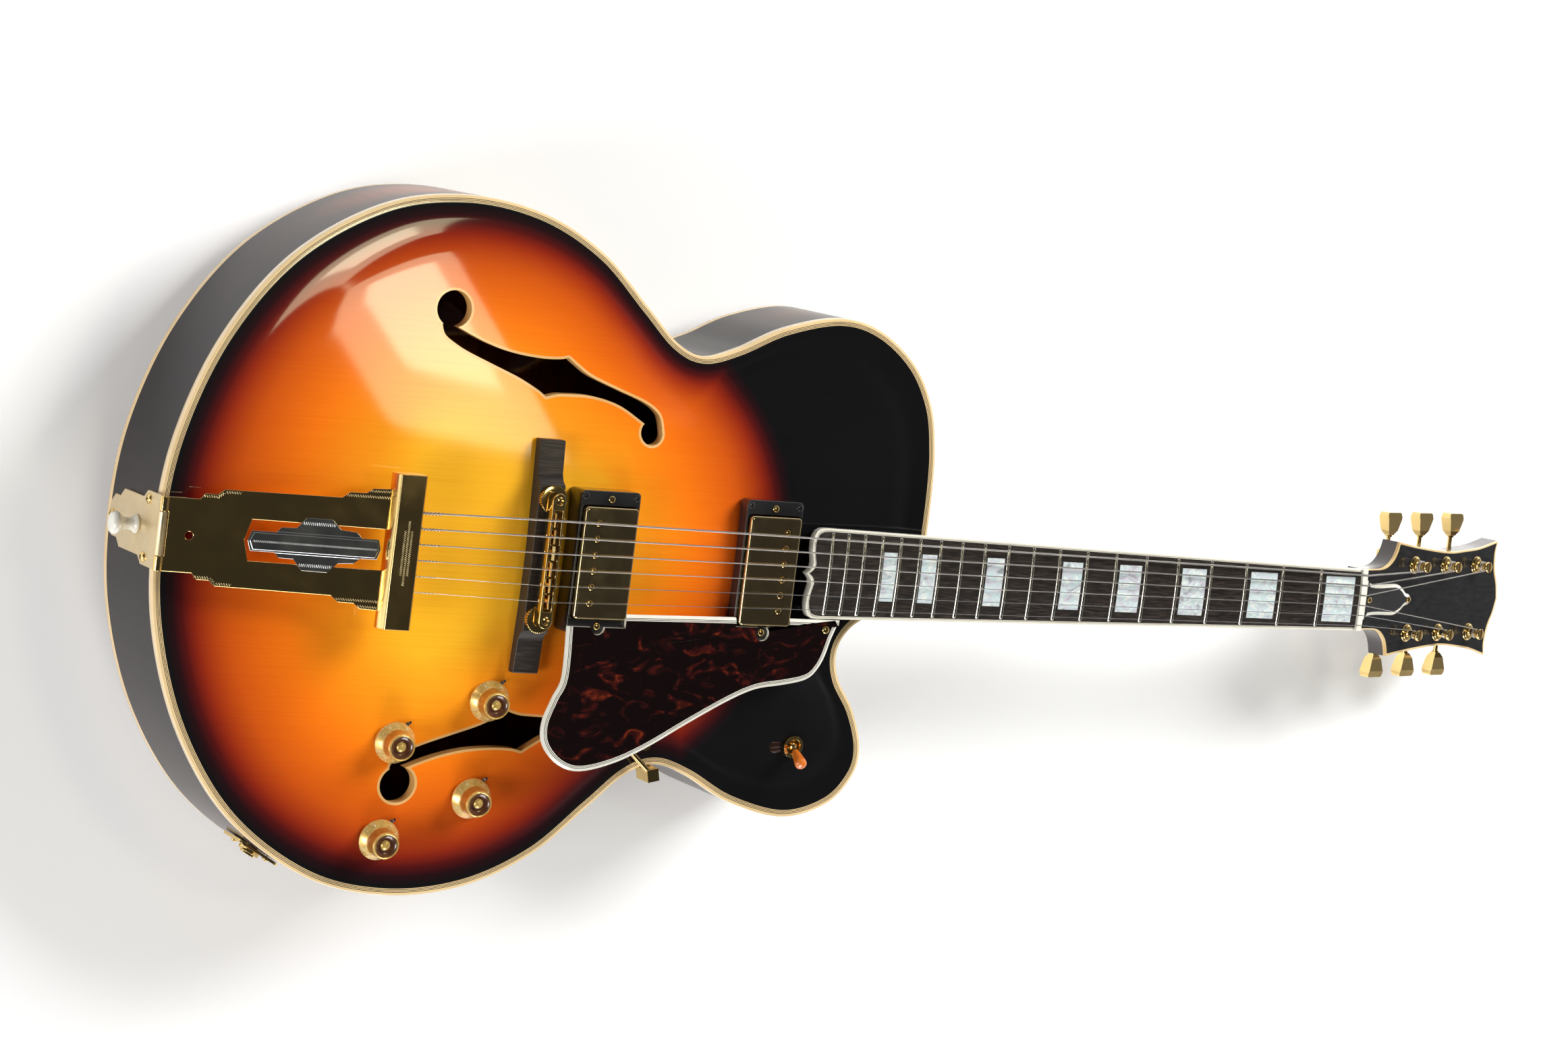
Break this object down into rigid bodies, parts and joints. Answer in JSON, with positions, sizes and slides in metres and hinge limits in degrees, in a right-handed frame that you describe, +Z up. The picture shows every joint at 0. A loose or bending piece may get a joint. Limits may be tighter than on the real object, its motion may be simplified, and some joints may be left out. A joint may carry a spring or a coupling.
{
  "type": "archtop electric guitar",
  "caption": "Hollow archtop electric guitar with a rounded cutaway, f-holes, a stepped tailpiece, covered pickups and gold tuners.",
  "frame": {"origin": "on the floor plane under the back's lowest point, in the middle of the overall length and width", "axes": "+X from the tail to the headstock, +Y to the bass side, +Z up out of the face"},
  "size_m": [1.0784, 0.434, 0.1438],
  "materials": {
    "top": "gloss sunburst lacquer over spruce",
    "back": "gloss dark sunburst lacquer over maple",
    "binding": "gloss",
    "inner_wood": "bare",
    "neck_wood": "gloss lacquer",
    "veneer": "gloss",
    "ebony": "satin",
    "fret_wire": "polished",
    "pearl": "gloss",
    "bone": "satin",
    "steel": "bright",
    "black_plastic": "gloss",
    "gold": "polished plating",
    "satin_gold": "satin plating",
    "silver": "satin",
    "white_plastic": "gloss",
    "tortoise": "gloss",
    "knob_gold": "gloss",
    "amber_plastic": "gloss"
  },
  "bodies": {
    "root": {"top_plate": "top", "back_plate": "back", "rim": "back", "top_binding": "binding", "back_binding": "binding", "blocks_and_linings": "inner_wood", "tone_bars": "inner_wood", "f_hole_binding": "binding", "neck": "neck_wood", "heel_cap": "binding", "headstock_veneer": "veneer", "neck_binding": "binding", "fretboard": "ebony", "frets": "fret_wire", "inlays": "pearl", "nut": "bone", "truss_rod": "steel", "truss_rod_cover": "black_plastic", "screws": "gold", "tailpiece_plate": "gold", "tailpiece_crossbar": "gold", "tailpiece_insert": "silver", "tail_bracket": "satin_gold", "strap_button": "white_plastic", "bridge_base": "ebony", "bridge_studs": "gold", "bridge_body": "gold", "bridge_saddles": "gold", "pickup_rings": "black_plastic", "pickup_covers": "gold", "pickup_coils": "black_plastic", "pole_screws": "gold", "pickguard": "tortoise", "pickguard_bracket": "gold", "strings": "steel", "tuner_housings": "gold", "tuner_bushings": "gold", "pots": "gold", "switch_body": "gold", "jack_plate": "gold", "pickguard_block": "black_plastic"},
    "thumbwheel_bass": {"thumbwheel_bass": "gold"},
    "thumbwheel_treble": {"thumbwheel_treble": "gold"},
    "post_1": {"tuner_post_1": "gold"},
    "post_2": {"tuner_post_2": "gold"},
    "post_3": {"tuner_post_3": "gold"},
    "post_4": {"tuner_post_4": "gold"},
    "post_5": {"tuner_post_5": "gold"},
    "post_6": {"tuner_post_6": "gold"},
    "button_1": {"tuner_button_1": "gold"},
    "button_2": {"tuner_button_2": "gold"},
    "button_3": {"tuner_button_3": "gold"},
    "button_4": {"tuner_button_4": "gold"},
    "button_5": {"tuner_button_5": "gold"},
    "button_6": {"tuner_button_6": "gold"},
    "knob_1": {"knob_1": "knob_gold"},
    "knob_2": {"knob_2": "knob_gold"},
    "knob_3": {"knob_3": "knob_gold"},
    "knob_4": {"knob_4": "knob_gold"},
    "lever": {"switch_lever": "amber_plastic"}
  },
  "joints": [
    {"name": "post_spin_1", "type": "hinge", "parent": "root", "child": "post_1", "pos_m": [0.43051, 0.0246, 0.07746], "axis": [0.309, 0, 0.9511], "continuous": true},
    {"name": "button_spin_1", "type": "hinge", "parent": "root", "child": "button_1", "pos_m": [0.41856, 0.0246, 0.06495], "axis": [0, 1, 0], "continuous": true},
    {"name": "post_spin_2", "type": "hinge", "parent": "root", "child": "post_2", "pos_m": [0.46808, 0.0246, 0.06526], "axis": [0.309, 0, 0.9511], "continuous": true},
    {"name": "button_spin_2", "type": "hinge", "parent": "root", "child": "button_2", "pos_m": [0.45613, 0.0246, 0.05274], "axis": [0, 1, 0], "continuous": true},
    {"name": "post_spin_3", "type": "hinge", "parent": "root", "child": "post_3", "pos_m": [0.50565, 0.0246, 0.05305], "axis": [0.309, 0, 0.9511], "continuous": true},
    {"name": "button_spin_3", "type": "hinge", "parent": "root", "child": "button_3", "pos_m": [0.49369, 0.0246, 0.04053], "axis": [0, 1, 0], "continuous": true},
    {"name": "post_spin_4", "type": "hinge", "parent": "root", "child": "post_4", "pos_m": [0.50565, -0.0246, 0.05305], "axis": [0.309, 0, 0.9511], "continuous": true},
    {"name": "button_spin_4", "type": "hinge", "parent": "root", "child": "button_4", "pos_m": [0.49369, -0.0246, 0.04053], "axis": [0, -1, 0], "continuous": true},
    {"name": "post_spin_5", "type": "hinge", "parent": "root", "child": "post_5", "pos_m": [0.46808, -0.0246, 0.06526], "axis": [0.309, 0, 0.9511], "continuous": true},
    {"name": "button_spin_5", "type": "hinge", "parent": "root", "child": "button_5", "pos_m": [0.45613, -0.0246, 0.05274], "axis": [0, -1, 0], "continuous": true},
    {"name": "post_spin_6", "type": "hinge", "parent": "root", "child": "post_6", "pos_m": [0.43051, -0.0246, 0.07746], "axis": [0.309, 0, 0.9511], "continuous": true},
    {"name": "button_spin_6", "type": "hinge", "parent": "root", "child": "button_6", "pos_m": [0.41856, -0.0246, 0.06495], "axis": [0, -1, 0], "continuous": true},
    {"name": "knob_turn_1", "type": "hinge", "parent": "root", "child": "knob_1", "pos_m": [-0.35503, -0.1208, 0.11479], "axis": [-0.0423, -0.0601, 0.9973], "range_deg": [-290, 0]},
    {"name": "knob_turn_2", "type": "hinge", "parent": "root", "child": "knob_2", "pos_m": [-0.35591, -0.18202, 0.11053], "axis": [-0.0185, -0.1046, 0.9943], "range_deg": [-290, 0]},
    {"name": "knob_turn_3", "type": "hinge", "parent": "root", "child": "knob_3", "pos_m": [-0.29698, -0.09237, 0.11892], "axis": [-0.034, -0.0731, 0.9967], "range_deg": [-290, 0]},
    {"name": "knob_turn_4", "type": "hinge", "parent": "root", "child": "knob_4", "pos_m": [-0.29882, -0.15449, 0.11362], "axis": [-0.0009, -0.0978, 0.9952], "range_deg": [-290, 0]},
    {"name": "switch_tilt", "type": "hinge", "parent": "root", "child": "lever", "pos_m": [-0.07472, -0.11564, 0.10911], "axis": [0.9579, -0.2745, -0.0841], "range_deg": [-50, 0]},
    {"name": "thumbwheel_spin_bass", "type": "hinge", "parent": "root", "child": "thumbwheel_bass", "pos_m": [-0.27831, 0.0372, 0.132], "axis": [0, 0, 1], "continuous": true},
    {"name": "thumbwheel_spin_treble", "type": "hinge", "parent": "root", "child": "thumbwheel_treble", "pos_m": [-0.27831, -0.0372, 0.132], "axis": [0, 0, 1], "continuous": true}
  ],
  "couplings": [
    {"joint": "post_spin_1", "follows": "button_spin_1", "ratio": -0.071429},
    {"joint": "post_spin_2", "follows": "button_spin_2", "ratio": -0.071429},
    {"joint": "post_spin_3", "follows": "button_spin_3", "ratio": -0.071429},
    {"joint": "post_spin_4", "follows": "button_spin_4", "ratio": 0.071429},
    {"joint": "post_spin_5", "follows": "button_spin_5", "ratio": 0.071429},
    {"joint": "post_spin_6", "follows": "button_spin_6", "ratio": 0.071429}
  ]
}
